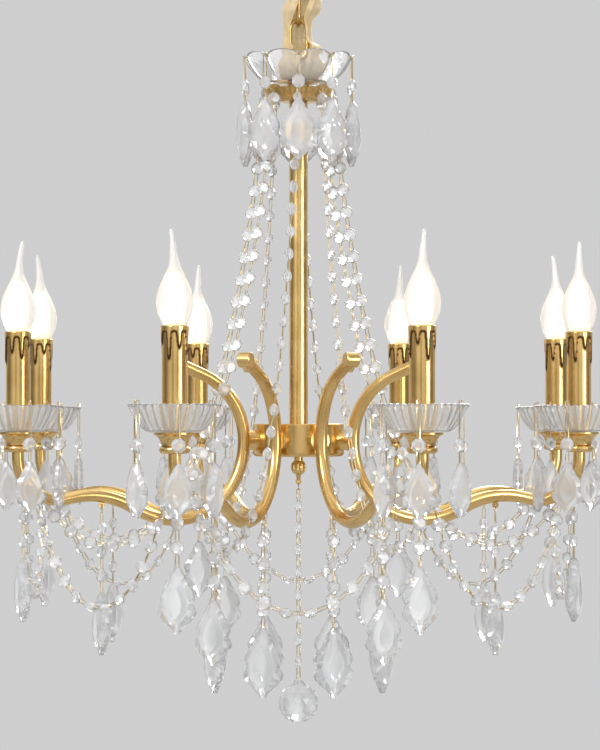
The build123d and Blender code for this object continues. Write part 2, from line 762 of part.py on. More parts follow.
bail_foot = bail_l + bail_wire / 2 + seat_gap
short_wire = bead_pitch - 2 * bead_room


def arm_drop(eye, beads, leaf_size):
    """A drop with its bail in an arm's eye."""
    top = Vector(eye[0], 0, eye[1] - bail_foot)
    return Compound(children=[bail(*eye).solid(), *hanging(top, short_wire, beads, leaf_size)])


for number, turned in enumerate(about_axis(arm_drop(low_eye, low_drop_beads, long_leaf)), 1):
    save_group(turned.solids(), f"low_drop_{number}")
hump_drop = arm_drop(hump_eye, hump_drop_beads, mid_leaf)
save_group([solid for part in about_axis(hump_drop) for solid in part.solids()], "hump_drops")
end_drop = arm_drop(end_eye, end_drop_beads, mid_leaf)
save_group([solid for part in about_axis(end_drop) for solid in part.solids()], "end_drops")

# Drops of the bobeches hang through holes in the glass, and those of the dish over its cusps
small_top = bobeche_z + bobeche_h + bobeche_wall
small_wire = small_top - (bobeche_z - bead_d / 3) + bead_d / 2 - bead_room
one_small = hanging(Vector(drop_circle_r, 0, small_top), small_wire, 1, small_leaf)
ring_of_drops = about_axis(Compound(children=one_small), bobeche_drops, 180 / bobeche_drops)
ring_solids = [solid for part in ring_of_drops for solid in part.solids()]
ring_at_arm = Compound(children=ring_solids).moved(Pos(candle_r, 0, 0))
save_group([solid for part in about_axis(ring_at_arm) for solid in part.solids()], "bobeche_drops")

dish_drop_r = cusp_r + link_wire_r + seat_gap
dish_drop_top = Vector(dish_drop_r, 0, dish_z + dish_h - cusp_notch_r)
one_dish_drop = Compound(children=hanging(dish_drop_top, dish_h - 2 * cusp_notch_r, 1, mid_leaf))
dish_ring = about_axis(one_dish_drop, dish_petals, -90)
save_group([solid for part in dish_ring for solid in part.solids()], "dish_drops")

# The middle pendant: its last link enters a cone on top of the faceted ball
with BuildPart() as crystal_ball:
    rings = [(ball_d / 2 * s, ball_d / 2 * (1 - s * s) ** 0.5) for s in (0.35, 0.75, 1.0)]
    rings += [(r, -h) for r, h in reversed(rings[:-1])]
    for ring_r, ring_h in rings:
        with BuildSketch(Plane.XY.offset(ring_h)):
            RegularPolygon(ring_r, 10)
    loft(ruled=True)
    with BuildSketch(Plane.XY.offset(rings[0][1])) as cone_foot:
        RegularPolygon(rings[0][0] * 0.8, 10)
    extrude(amount=ball_cone_h, taper=30)
pendant_top = Vector(0, 0, finial_eye_z - bail_foot)
pendant = hanging(pendant_top, short_wire, pendant_beads, None)
last_bead_z = pendant_top.Z - short_wire - bead_room - bead_pitch * (pendant_beads - 1)
ball_wire_foot = Vector(0, 0, last_bead_z - bead_pitch + bead_room)
pendant.append(wire_bar(Vector(0, 0, last_bead_z - bead_room), ball_wire_foot))
ball_top = rings[0][1] + ball_cone_h + seat_gap
pendant.append(crystal_ball.solid().moved(Location((0, 0, ball_wire_foot.Z - ball_top))))
save_group([bail(0, finial_eye_z).solid(), *pendant], "centre_pendant")
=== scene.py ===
from math import asinh, atan, pi, radians, sinh

import bmesh
import bpy
import numpy as np
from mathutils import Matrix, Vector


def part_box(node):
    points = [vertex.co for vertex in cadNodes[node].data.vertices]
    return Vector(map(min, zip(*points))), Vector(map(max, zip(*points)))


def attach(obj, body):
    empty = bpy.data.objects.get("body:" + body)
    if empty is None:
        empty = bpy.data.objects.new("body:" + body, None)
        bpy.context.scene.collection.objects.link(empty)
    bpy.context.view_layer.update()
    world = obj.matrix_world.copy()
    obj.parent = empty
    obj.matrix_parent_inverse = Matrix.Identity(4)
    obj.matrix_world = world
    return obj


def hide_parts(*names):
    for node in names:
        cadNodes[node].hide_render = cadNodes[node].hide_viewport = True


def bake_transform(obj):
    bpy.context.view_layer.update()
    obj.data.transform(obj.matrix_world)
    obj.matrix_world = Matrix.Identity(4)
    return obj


# A crystal chandelier, dressed in brass, cut glass and cloth. Shapes are worked out in millimetres.
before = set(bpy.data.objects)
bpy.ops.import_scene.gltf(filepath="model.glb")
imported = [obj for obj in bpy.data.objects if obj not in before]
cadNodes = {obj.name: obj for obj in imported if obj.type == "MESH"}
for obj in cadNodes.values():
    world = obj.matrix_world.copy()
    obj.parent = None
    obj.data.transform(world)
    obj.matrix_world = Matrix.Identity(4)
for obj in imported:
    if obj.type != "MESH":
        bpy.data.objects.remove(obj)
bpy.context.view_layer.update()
mm = 0.001
xAxis, yAxis, zAxis = np.eye(3)
print("frame loaded:", len(cadNodes), "CAD nodes")


def boxOf(node):  # lowest and highest corner of a CAD node, in millimetres
    return [np.array(corner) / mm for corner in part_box(node)]


armCount = 8
armAngles = (np.arange(armCount) + 0.5) * 2 * pi / armCount
bobecheLow, bobecheHigh = boxOf("bobeche_1")
dishLow, dishHigh = boxOf("top_dish")
cupLow, cupHigh = boxOf("top_cup")
candleLow, candleHigh = boxOf("candle_sleeves")
socketTop = boxOf("lamp_sockets")[1][2]
bulbTop = boxOf("bulb_1")[1][2]
lowDropLow, lowDropHigh = boxOf("low_drop_1")
pendantLow, pendantHigh = boxOf("centre_pendant")
sleeveLow, sleeveHigh = boxOf("chain_sleeve")
candleR = np.hypot(*(bobecheLow + bobecheHigh)[:2]) / 2


# Shapes. A shape is its points and a list of arrays of faces, and the faces in one array all have
# the same count of corners.
def unit(vectors):  # each row scaled to a length of one
    return vectors / np.linalg.norm(vectors, axis=-1, keepdims=True)


def joinShapes(shapes):
    # One shape of several: each one's faces are counted on from the points before it
    points, faces, start = [], [], 0
    for shapePoints, shapeFaces in shapes:
        points.append(shapePoints)
        faces += [face + start for face in shapeFaces]
        start += len(shapePoints)
    return np.concatenate(points), faces


def copiesOf(shape, origins, along, facing):
    # Copies of a shape: its x points along, its z points facing, and its y is the cross product
    # of the two
    points, faces = shape
    origins, along, facing = np.broadcast_arrays(*np.atleast_2d(origins, along, facing))
    axes = np.stack([along, np.cross(facing, along), facing], axis=2)
    placed = np.einsum("nij,vj->nvi", axes, points) + origins[:, None, :]
    starts = (np.arange(len(placed)) * len(points))[:, None, None]
    placedFaces = [(face[None] + starts).reshape(-1, face.shape[1]) for face in faces]
    return placed.reshape(-1, 3), placedFaces


def aroundAxis(shape, angles):  # copies turned about the chandelier's axis
    along = np.stack([np.cos(angles), np.sin(angles), np.zeros(len(angles))], axis=1)
    return copiesOf(shape, np.zeros(3), along, zAxis)


def movedBy(shape, x=0.0, y=0.0, z=0.0):
    return shape[0] + np.array([x, y, z]), shape[1]


def gridShape(points, closeRows=False, closeCols=True, caps=()):
    # Points in rows and columns; each face joins two neighbours of a row with the two beside them
    rows, cols = points.shape[:2]
    index = np.arange(rows * cols).reshape(rows, cols)
    here, below = (index, np.roll(index, -1, 0)) if closeRows else (index[:-1], index[1:])
    if closeCols:
        corners = [here, np.roll(here, -1, 1), np.roll(below, -1, 1), below]
    else:
        corners = [here[:, :-1], here[:, 1:], below[:, 1:], below[:, :-1]]
    faces = [np.stack(corners, axis=-1).reshape(-1, 4)]
    faces += [index[row][None] for row in caps]
    return points.reshape(-1, 3), faces


def ringGrid(radii, heights, angles, offX=0.0, offY=0.0):
    # Point [i, j] is radius[i, j] from the axis, towards angle j, at height[i, j]
    radii, heights, turn = np.broadcast_arrays(radii, heights, angles[None, :])
    return np.stack([radii * np.cos(turn) + offX, radii * np.sin(turn) + offY, heights], axis=2)


def smoothThrough(points, count):
    # Catmull-Rom curve: between two points a cubic whose slopes come from the points on both sides
    known = np.asarray(points, float)
    known = np.vstack([2 * known[0] - known[1], known, 2 * known[-1] - known[-2]])
    place = np.linspace(0, len(points) - 1, count)
    span = np.minimum(place.astype(int), len(points) - 2)
    share = (place - span)[:, None]
    a, b, c, d = known[span], known[span + 1], known[span + 2], known[span + 3]
    bend = (2 * a - 5 * b + 4 * c - d) * share**2 + (3 * b - a - 3 * c + d) * share**3
    return (2 * b + (c - a) * share + bend) / 2


def addPiece(
    name, shape, material, body=None, standsFor=(), smooth=None, paint=None
):
    # One visible piece: smooth is the angle in degrees below which edges shade smoothly, and paint
    # holds a value for each point under its label
    points, faces = shape
    mesh = bpy.data.meshes.new(name)
    allFaces = [face for group in faces for face in group.tolist()]
    mesh.from_pydata((points * mm).tolist(), [], allFaces)
    shell = bmesh.new()
    shell.from_mesh(mesh)
    bmesh.ops.recalc_face_normals(shell, faces=shell.faces)
    shell.to_mesh(mesh)
    shell.free()
    mesh.polygons.foreach_set("use_smooth", np.full(len(mesh.polygons), smooth is not None))
    if smooth is not None:
        mesh.set_sharp_from_angle(angle=radians(smooth))
    for label, values in (paint or {}).items():
        layer = mesh.attributes.new(label, "FLOAT", "POINT")
        layer.data.foreach_set("value", values.astype(np.float32))
    mesh.materials.append(material)
    piece = bpy.data.objects.new(name, mesh)
    bpy.context.scene.collection.objects.link(piece)
    if body:
        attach(piece, body)
    if standsFor:
        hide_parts(*standsFor)
    return piece


# Materials. Each is procedural, and its colour and gloss vary softly over a piece.
def nodeGroup(name, inputs, outputs):
    group = bpy.data.node_groups.new(name, "ShaderNodeTree")
    for label, kind, value in inputs:
        socket = group.interface.new_socket(name=label, in_out="INPUT", socket_type=kind)
        if value is not None:
            socket.default_value = value
    for label, kind in outputs:
        group.interface.new_socket(name=label, in_out="OUTPUT", socket_type=kind)
    return group, group.nodes.new("NodeGroupInput"), group.nodes.new("NodeGroupOutput")


def joinNodes(tree, *pairs):
    for source, target in pairs:
        tree.links.new(source, target)


def setStops(ramp, stops):  # each stop is a place from 0 to 1, and a colour
    elements = ramp.color_ramp.elements
    while len(elements) < len(stops):
        elements.new(1.0)
    for element, (place, colour) in zip(elements, stops):
        element.position, element.color = place, (*colour, 1)


noiseSpan = (0.3, 0.7)  # nearly all values of a noise texture lie between these two


def makeCloudsAndGrain():
    # Broad soft clouds for colour and gloss, and a fine grain for the bump
    textures = dict(Cloud=(30.0, 3.0), Grain=(900.0, 2.0))  # scale and detail
    sockets = [("Vector", "NodeSocketVector", None)]
    for name, (scale, _) in textures.items():
        sockets.append((f"{name} Scale", "NodeSocketFloat", scale))
    outputs = [(name, "NodeSocketFloat") for name in textures]
    group, into, out = nodeGroup("cloudsAndGrain", sockets, outputs)
    for name, (_, detail) in textures.items():
        noise = group.nodes.new("ShaderNodeTexNoise")
        noise.inputs["Detail"].default_value = detail
        group.links.new(into.outputs["Vector"], noise.inputs["Vector"])
        group.links.new(into.outputs[f"{name} Scale"], noise.inputs["Scale"])
        spread = group.nodes.new("ShaderNodeMapRange")
        spread.inputs["From Min"].default_value, spread.inputs["From Max"].default_value = noiseSpan
        group.links.new(noise.outputs["Fac"], spread.inputs["Value"])
        group.links.new(spread.outputs["Result"], out.inputs[name])
    return group


cloudsAndGrain = makeCloudsAndGrain()


def makeMaterial(
    name, dark, light, rough, cloud=30.0, grain=900.0, bump=0.05, depth=0.0002, **sockets
):
    # dark and light are the colour's two ends, rough the gloss's, and both follow the clouds
    material = bpy.data.materials.new(name)
    material.use_nodes = True
    nodes, links = material.node_tree.nodes, material.node_tree.links
    shader = nodes["Principled BSDF"]
    place = nodes.new("ShaderNodeTexCoord")
    surface = nodes.new("ShaderNodeGroup")
    surface.node_tree = cloudsAndGrain
    surface.inputs["Cloud Scale"].default_value = cloud
    surface.inputs["Grain Scale"].default_value = grain
    links.new(place.outputs["Object"], surface.inputs["Vector"])
    tint = nodes.new("ShaderNodeMix")
    tint.data_type = "RGBA"
    tint.inputs["A"].default_value = (*dark, 1)
    tint.inputs["B"].default_value = (*light, 1)
    links.new(surface.outputs["Cloud"], tint.inputs["Factor"])
    links.new(tint.outputs["Result"], shader.inputs["Base Color"])
    gloss = nodes.new("ShaderNodeMapRange")
    gloss.inputs["To Min"].default_value, gloss.inputs["To Max"].default_value = rough
    links.new(surface.outputs["Cloud"], gloss.inputs["Value"])
    links.new(gloss.outputs["Result"], shader.inputs["Roughness"])
    relief = nodes.new("ShaderNodeBump")
    relief.inputs["Strength"].default_value = bump
    relief.inputs["Distance"].default_value = depth
    links.new(surface.outputs["Grain"], relief.inputs["Height"])
    links.new(relief.outputs["Normal"], shader.inputs["Normal"])
    for label, value in sockets.items():
        shader.inputs[label.replace("_", " ")].default_value = value
    return material, shader, tint


satinBrass = makeMaterial(
    "satinBrass", (0.66, 0.43, 0.155), (0.78, 0.545, 0.225), (0.20, 0.28), bump=0.08, Metallic=1.0
)[0]
wireBrass = makeMaterial(
    "wireBrass", (0.72, 0.58, 0.34), (0.84, 0.72, 0.48), (0.20, 0.28), bump=0.05, Metallic=1.0
)[0]
zincSteel = makeMaterial(
    "zincSteel", (0.45, 0.46, 0.48), (0.62, 0.63, 0.65), (0.30, 0.42),
    cloud=90.0, bump=0.2, Metallic=1.0
)[0]
socketPorcelain = makeMaterial(
    "socketPorcelain", (0.74, 0.72, 0.66), (0.82, 0.80, 0.75), (0.35, 0.5)
)[0]
lampCapMetal = makeMaterial(
    "lampCapMetal", (0.55, 0.52, 0.46), (0.70, 0.66, 0.58), (0.25, 0.35), bump=0.1, Metallic=1.0
)[0]
cutCrystal = makeMaterial(
    "cutCrystal", (0.90, 0.91, 0.92), (0.96, 0.96, 0.96), (0.0, 0.03),
    bump=0.0, Transmission_Weight=0.68, IOR=1.55
)[0]
pressedGlass = makeMaterial(
    "pressedGlass", (0.88, 0.89, 0.89), (0.94, 0.94, 0.94), (0.02, 0.07),
    grain=160.0, bump=0.15, depth=0.0006, Transmission_Weight=0.80, IOR=1.5
)[0]

# The candle sleeves' brass has painted shade: dark brown lines along the edges of the drips, where
# the raised wax steps down to the wall
candleBrass, candleShader, candleTint = makeMaterial(
    "candleBrass", (0.68, 0.44, 0.155), (0.80, 0.555, 0.22), (0.17, 0.25), bump=0.08, Metallic=1.0
)
# Each point's value mixes in the dark brown of the painted shade along the drips' edges
dripShadeLine = candleBrass.node_tree.nodes.new("ShaderNodeAttribute")
dripShadeLine.attribute_name = "dripShadeLine"
dripShadeMix = candleBrass.node_tree.nodes.new("ShaderNodeMix")
dripShadeMix.data_type = "RGBA"
dripShadeMix.inputs["B"].default_value = (0.11, 0.045, 0.014, 1)
joinNodes(
    candleBrass.node_tree,
    (dripShadeLine.outputs["Fac"], dripShadeMix.inputs["Factor"]),
    (candleTint.outputs["Result"], dripShadeMix.inputs["A"]),
    (dripShadeMix.outputs["Result"], candleShader.inputs["Base Color"]),
)

# The bulbs are frosted glass round a core that glows, warmer towards its foot
bulbGlass = makeMaterial(
    "bulbGlass", (0.96, 0.94, 0.91), (0.99, 0.98, 0.96), (0.38, 0.48),
    bump=0.0, Transmission_Weight=0.62, IOR=1.25
)[0]
glowCore, coreShader, _ = makeMaterial(
    "glowCore", (0.9, 0.8, 0.6), (1.0, 0.9, 0.7), (0.5, 0.6), Emission_Strength=1.15
)
corePlace = glowCore.node_tree.nodes.new("ShaderNodeTexCoord")
coreSplit = glowCore.node_tree.nodes.new("ShaderNodeSeparateXYZ")
coreShare = glowCore.node_tree.nodes.new("ShaderNodeMapRange")
coreShare.inputs["From Min"].default_value = socketTop * mm
coreShare.inputs["From Max"].default_value = bulbTop * mm
coreRamp = glowCore.node_tree.nodes.new("ShaderNodeValToRGB")
coreStops = [
    (0.0, (1.0, 0.62, 0.2)),
    (0.14, (1.0, 0.84, 0.48)),
    (0.3, (1.0, 0.97, 0.86)),
    (0.62, (1.0, 0.86, 0.58)),
]
setStops(coreRamp, coreStops)
joinNodes(
    glowCore.node_tree,
    (corePlace.outputs["Object"], coreSplit.inputs["Vector"]),
    (coreSplit.outputs["Z"], coreShare.inputs["Value"]),
    (coreShare.outputs["Result"], coreRamp.inputs["Fac"]),
    (coreRamp.outputs["Color"], coreShader.inputs["Emission Color"]),
)

# Cloth: the weave follows the sleeve's own map, whose unit is one millimetre
satinCloth = makeMaterial(
    "satinCloth", (0.78, 0.52, 0.22), (0.92, 0.74, 0.44), (0.35, 0.45), cloud=45.0, bump=0.25,
    Sheen_Weight=0.15, Subsurface_Weight=0.35, Subsurface_Scale=0.02,
    Subsurface_Radius=(1.0, 0.75, 0.4)
)[0]
clothMap = satinCloth.node_tree.nodes.new("ShaderNodeUVMap")
clothMap.uv_map = "cloth"
weave = satinCloth.node_tree.nodes.new("ShaderNodeTexWave")
weave.bands_direction = "DIAGONAL"
weave.inputs["Scale"].default_value = 1.2
weave.inputs["Distortion"].default_value = 0.6
clothRelief = satinCloth.node_tree.nodes["Bump"]
joinNodes(
    satinCloth.node_tree,
    (clothMap.outputs["UV"], weave.inputs["Vector"]),
    (weave.outputs["Fac"], clothRelief.inputs["Height"]),
)
print("materials made")

# CAD nodes that stay visible get their finish
brassNodes = ["canopy", "canopy_loop", "chain_link_upper", "chain_link_lower", "stem_loop", "stem"]
brassNodes += ["hub", "hub_cover", "arm_collars", "hub_finial", "arm_knobs", "cup_nuts"]
brassNodes += ["candle_cups"] + [f"arm_{n + 1}" for n in range(armCount)]
keptFinish = {
    satinBrass: brassNodes,
    zincSteel: ["ceiling_bracket"],
    socketPorcelain: ["lamp_sockets"],
}
for material, names in keptFinish.items():
    for name in names:
        kept = cadNodes[name]
        kept.data.materials.clear()
        kept.data.materials.append(material)

# Pressed glass and the brass cup: three fluted bowls. Base, hole and rim are radii, cuspAt is the
# first cusp's angle in degrees, and below says how far the rim stays under its CAD box's top.
bobecheGlass = dict(
    base=21.0, wall=3.4, curve=0.5, flutes=36, groove=2.3, cuspAt=5.0, rimDrop=1.3, hole=5.0,
    plainInside=1.0, ruffles=0, ruffle=0.0, columns=288, rim=44.0, below=0.5
)
dishGlass = dict(
    base=25.0, wall=3.0, curve=0.47, flutes=10, groove=3.4, cuspAt=-90.0, rimDrop=7.0, hole=5.4,
    plainInside=0.5, ruffles=0, ruffle=0.0, columns=360, below=0.5
)
brassCup = dict(
    base=12.0, wall=1.4, curve=0.4, flutes=24, groove=2.6, cuspAt=0.0, rimDrop=1.2, hole=5.4,
    plainInside=0.0, ruffles=8, ruffle=1.5, columns=288, rim=37.5, below=0.3, rise=16.0,
    bossR=11.0, bossUp=0.5, bossColumns=48
)
# How finely all three are drawn, and how their section is rounded
bowlRows = dict(outside=18, inside=16, spread=1.5, footStep=2.0, wallShare=0.85, lipShare=0.15)


def flutedBowl(bowl, rim, floor, height):
    # Radius grows with the height's power, and each flute is half an ellipse across, deepest at
    # its two cusps. Where the inside is plainer than the outside, the flutes bend the light as
    # lenses do. The section runs out under the floor, up the outside, over the rim, down the
    # inside and back to the hole.
    angles = np.linspace(0, 2 * pi, bowl["columns"], endpoint=False)
    across = ((angles - radians(bowl["cuspAt"])) * bowl["flutes"] / (2 * pi)) % 1 * 2 - 1
    lobe = np.sqrt(np.clip(1 - across**2, 0, 1))
    top = height - bowl["rimDrop"] * (1 - lobe)
    wall, hole, spread = bowl["wall"], bowl["hole"], bowlRows["spread"]

    def wallAt(share, inset, hollow):
        share = share[:, None]
        radius = bowl["base"] + (rim - bowl["base"]) * share ** bowl["curve"]
        radius = radius - bowl["groove"] * np.sqrt(share) * hollow - inset
        lift = bowl["ruffle"] * (np.cos(bowl["ruffles"] * angles) - 1) * share**2
        return radius, floor + top * share + lift

    up = np.linspace(0, 1, bowlRows["outside"]) ** spread
    outerR, outerZ = wallAt(up, 0, 1 - lobe)
    down = np.linspace(1, 0, bowlRows["inside"]) ** spread * (1 - wall / height) + wall / height
    insideHollow = 1 - lobe * (1 - bowl["plainInside"])
    innerR, innerZ = wallAt(down, wall * bowlRows["wallShare"], insideHollow)
    lipR, lipZ = (outerR[-1:] + innerR[:1]) / 2, outerZ[-1:] + wall * bowlRows["lipShare"]
    flat = np.ones((1, len(angles)))
    foot = bowl["base"] - bowlRows["footStep"]
    radii = [flat * hole, flat * foot, outerR, lipR, innerR, flat * hole]
    heights = [flat * floor, flat * floor, outerZ, lipZ, innerZ, flat * (floor + wall)]
    grid = ringGrid(np.concatenate(radii), np.concatenate(heights), angles)
    return gridShape(grid, closeRows=True)


bobecheRise = bobecheHigh[2] - bobecheLow[2] - bobecheGlass["below"]
oneBobeche = flutedBowl(bobecheGlass, bobecheGlass["rim"], bobecheLow[2], bobecheRise)
oneBobeche = movedBy(oneBobeche, x=candleR)
for n in range(armCount):
    addPiece(f"bobecheGlass{n + 1}", aroundAxis(oneBobeche, armAngles[n : n + 1]), pressedGlass,
             "frame", [f"bobeche_{n + 1}"], smooth=50)
dishRim, dishRise = (dishHigh - dishLow)[1] / 2, dishHigh[2] - dishLow[2] - dishGlass["below"]
dishShape = flutedBowl(dishGlass, dishRim, dishLow[2], dishRise)
addPiece("topDishGlass", dishShape, pressedGlass, "frame", ["top_dish"], smooth=50)
cupShell = flutedBowl(brassCup, brassCup["rim"], cupLow[2], brassCup["rise"] - brassCup["below"])
bossAngles = np.linspace(0, 2 * pi, brassCup["bossColumns"], endpoint=False)
bossInside, bossOutside = brassCup["hole"], brassCup["bossR"]
bossFoot, bossTop = cupLow[2] + brassCup["bossUp"], cupHigh[2]
bossRadii = np.array([bossInside, bossOutside, bossOutside, bossInside])[:, None]
bossHeights = np.array([bossFoot, bossFoot, bossTop, bossTop])[:, None]
cupBossShape = gridShape(ringGrid(bossRadii, bossHeights, bossAngles), closeRows=True)
cupShape = joinShapes([cupShell, cupBossShape])
addPiece("topCupBrass", cupShape, satinBrass, "frame", ["top_cup"], 50)
print("bowls made")

# Candle sleeves: brass tubes with raised wax drips, whose lengths go round the tube
candle = dict(
    radius=11.9, wall=1.4, raised=1.4, collar=5.6, arch=3.4, halfWidth=1.9, rimIn=0.7,
    drips=(29, 19, 24, 13, 31, 20, 27, 15), columns=144, plainRows=5, dripHeight=46.0,
    # The last three numbers shape the dark line of painted shade along the drips' edges
    dripRows=80, reliefPasses=2, shadeLinePasses=4, shadeLineGain=2.2, shadeLineLevel=0.7
)


def candleShape():
    # The drips' lower edge is a collar's depth, less a half circle's arch between each two drips,
    # plus each drip's length times exp(-(distance / width)^4). The wall is raised above that edge,
    # and the step is softened by averaging each point with its neighbours. The painted shade, a
    # dark line along the drips' edges, is strongest halfway up the softened step.
    low, high = candleLow[2], candleHigh[2]
    drips, collar = np.array(candle["drips"]), candle["collar"]
    angles = np.linspace(0, 2 * pi, candle["columns"], endpoint=False)
    places = 2 * pi * np.arange(len(drips)) / len(drips)
    apart = (angles[None, :] - places[:, None] + pi) % (2 * pi) - pi
    tongue = np.exp(-((apart * candle["radius"] / candle["halfWidth"]) ** 4))
    between = (angles * len(places) / (2 * pi)) % 1 * 2 - 1
    arch = candle["arch"] * (1 - np.sqrt(np.clip(1 - between**2, 0, 1)))
    drop = collar + arch + ((drips - collar)[:, None] * tongue).sum(0)
    dripFoot = high - candle["dripHeight"]
    plainHeights = np.linspace(low, dripFoot, candle["plainRows"])[:-1]
    heights = np.concatenate([plainHeights, np.linspace(dripFoot, high, candle["dripRows"])])
    line = (heights[:, None] > high - drop[None, :]).astype(float)
    for step in range(candle["shadeLinePasses"]):
        line = (line + np.roll(line, 1, 1) + np.roll(line, -1, 1)) / 3
        line[1:-1] = (line[1:-1] + line[:-2] + line[2:]) / 3
        if step + 1 == candle["reliefPasses"]:
            raised = line.copy()
    # Painted shade: a dark line, strongest halfway up the step where the drips' edges meet the wall
    line = np.clip(4 * line * (1 - line) * candle["shadeLineGain"] - candle["shadeLineLevel"], 0, 1)
    radii = candle["radius"] + candle["raised"] * raised
    radii[-1] -= candle["rimIn"]
    inner = candle["radius"] - candle["wall"]
    plain = np.ones((1, len(angles)))
    radii = np.concatenate([radii, plain * inner, plain * inner])
    rows = np.concatenate([heights, [high, low]])[:, None]
    shape = gridShape(ringGrid(radii, rows, angles, offX=candleR), closeRows=True)
    return shape, np.concatenate([line, 0 * plain, 0 * plain]).ravel()


# Each sleeve carries its dark line of painted shade as a value for each point
oneCandle, oneDripShadeLine = candleShape()
addPiece("candleSleevesBrass", aroundAxis(oneCandle, armAngles), candleBrass, "frame",
         ["candle_sleeves"], 60, {"dripShadeLine": np.tile(oneDripShadeLine, armCount)})

# Flame bulbs: each section is a share of the length, of the widest radius, and of the bend
flameBulb = dict(radius=17.5, bend=4.5, turn=100.0, firstTurn=20.0, gap=0.3, rows=60, columns=48)
flameSections = [
    (0.0, 0.40, 0), (0.06, 0.52, 0), (0.17, 0.84, 0), (0.29, 0.99, 0), (0.41, 0.90, 0),
    (0.53, 0.63, 0.02), (0.63, 0.36, 0.08), (0.72, 0.235, 0.2), (0.83, 0.17, 0.43),
    (0.93, 0.13, 0.72), (0.985, 0.105, 0.93), (1.0, 0.05, 0.98),
]
lampCap = dict(radius=7.0, length=22.0, pitch=3.2, depth=0.25, rows=40, columns=32)
lampCore = dict(radius=7.5, low=3.0, length=54.0, power=0.7, tipR=0.3, rows=24, columns=24)
bulbFoot = socketTop + flameBulb["gap"]


def bulbShape(number):
    # Rings along a smooth curve through the sections, each one moved sideways by its share of the
    # bend. The bulbs' tips lean in different directions.
    share, width, bend = smoothThrough(flameSections, flameBulb["rows"]).T
    angles = np.linspace(0, 2 * pi, flameBulb["columns"], endpoint=False)
    way = radians(flameBulb["turn"] * number + flameBulb["firstTurn"])
    heights = bulbFoot + share[:, None] * (bulbTop - bulbFoot)
    points = ringGrid(width[:, None] * flameBulb["radius"], heights, angles)
    points[:, :, 0] += candleR + (bend * flameBulb["bend"] * np.cos(way))[:, None]
    points[:, :, 1] += (bend * flameBulb["bend"] * np.sin(way))[:, None]
    return gridShape(points, caps=(0, -1))


def capShape():  # the screw base, whose thread is a wave along its length
    rows = np.linspace(0, 1, lampCap["rows"])[:, None]
    thread = lampCap["depth"] * np.cos(2 * pi * rows * lampCap["length"] / lampCap["pitch"])
    angles = np.linspace(0, 2 * pi, lampCap["columns"], endpoint=False)
    heights = bulbFoot - rows * lampCap["length"]
    radii = lampCap["radius"] - lampCap["depth"] + thread
    return gridShape(ringGrid(radii, heights, angles, offX=candleR), caps=(0, -1))


def coreShape():  # the glow inside: its radius follows a power of the sine from foot to top
    rows = np.linspace(0, pi, lampCore["rows"])[:, None]
    radii = lampCore["radius"] * np.sin(rows) ** lampCore["power"] + lampCore["tipR"]
    heights = bulbFoot + lampCore["low"] + (1 - np.cos(rows)) / 2 * lampCore["length"]
    angles = np.linspace(0, 2 * pi, lampCore["columns"], endpoint=False)
    return gridShape(ringGrid(radii, heights, angles, offX=candleR), caps=(0, -1))


for n in range(armCount):
    here, body = armAngles[n : n + 1], f"bulb_{n + 1}_body"
    addPiece(f"bulbFlame{n + 1}", aroundAxis(bulbShape(n + 1), here), bulbGlass, body,
             [f"bulb_{n + 1}"], 60)
    addPiece(f"bulbCore{n + 1}", aroundAxis(coreShape(), here), glowCore, body, (),
             60)
    addPiece(f"bulbCap{n + 1}", aroundAxis(capShape(), here), lampCapMetal, body, (),
             40)
print("candles and bulbs made")

# Cut crystals. A leaf's size is its length, width and thickness.
bead = dict(sides=8, radius=7.0, thick=7.0, table=3.9, girdle=0.9)
leafSizes = dict(long=(70, 42, 16), mid=(63, 38, 14), small=(50, 30, 11))
# Half of a leaf's scalloped edge: the share of the fall and the share of the half width
leafEdge = [
    (0.0, 0.10), (0.05, 0.19), (0.11, 0.34), (0.16, 0.38), (0.22, 0.53), (0.27, 0.58),
    (0.33, 0.76), (0.40, 0.90), (0.47, 0.92), (0.53, 0.84), (0.57, 0.80), (0.62, 0.94),
    (0.68, 1.0), (0.74, 0.93), (0.78, 0.78), (0.82, 0.70), (0.86, 0.50), (0.90, 0.36),
    (0.94, 0.22), (0.97, 0.17), (1.0, 0.07),
]
# The two smooth shapes inside that edge: their scale across and down, how far down they start, and
# their share of the thickness
leafFacets = [(0.70, 0.78, 0.09, 0.80), (0.38, 0.52, 0.26, 1.0)]
leafRimShare = 0.26  # the edge's own share of the thickness


def beadShape():
    # A girdle, and on each side a table turned half a side
    sides = bead["sides"]
    turn = np.arange(sides) * 2 * pi / sides
    halfTurned = turn + pi / sides
    wholeTurned = turn + 2 * pi / sides
    girdle = np.stack([np.cos(halfTurned), np.sin(halfTurned)], axis=1) * bead["radius"]
    table = np.stack([np.cos(wholeTurned), np.sin(wholeTurned)], axis=1) * bead["table"]
    half, edge = bead["thick"] / 2, bead["girdle"] / 2
    rings = [(table, half), (girdle, edge), (girdle, -edge), (table, -half)]
    points = np.concatenate([np.column_stack([ring, np.full(sides, z)]) for ring, z in rings])
    top = np.arange(sides)
    topNext = (top + 1) % sides
    (upper, upperNext), (lower, lowerNext), (foot, footNext) = (
        (top + row * sides, topNext + row * sides) for row in (1, 2, 3)
    )
    crown = [np.stack([upper, upperNext, top], 1), np.stack([top, upperNext, topNext], 1)]
    pavilion = [np.stack([lower, foot, lowerNext], 1), np.stack([foot, footNext, lowerNext], 1)]
    belt = np.stack([upper, lower, lowerNext, upperNext], 1)
    tables = [top[None], foot[None, ::-1]]
    return points, [np.concatenate(crown), np.concatenate(pavilion), belt, *tables]


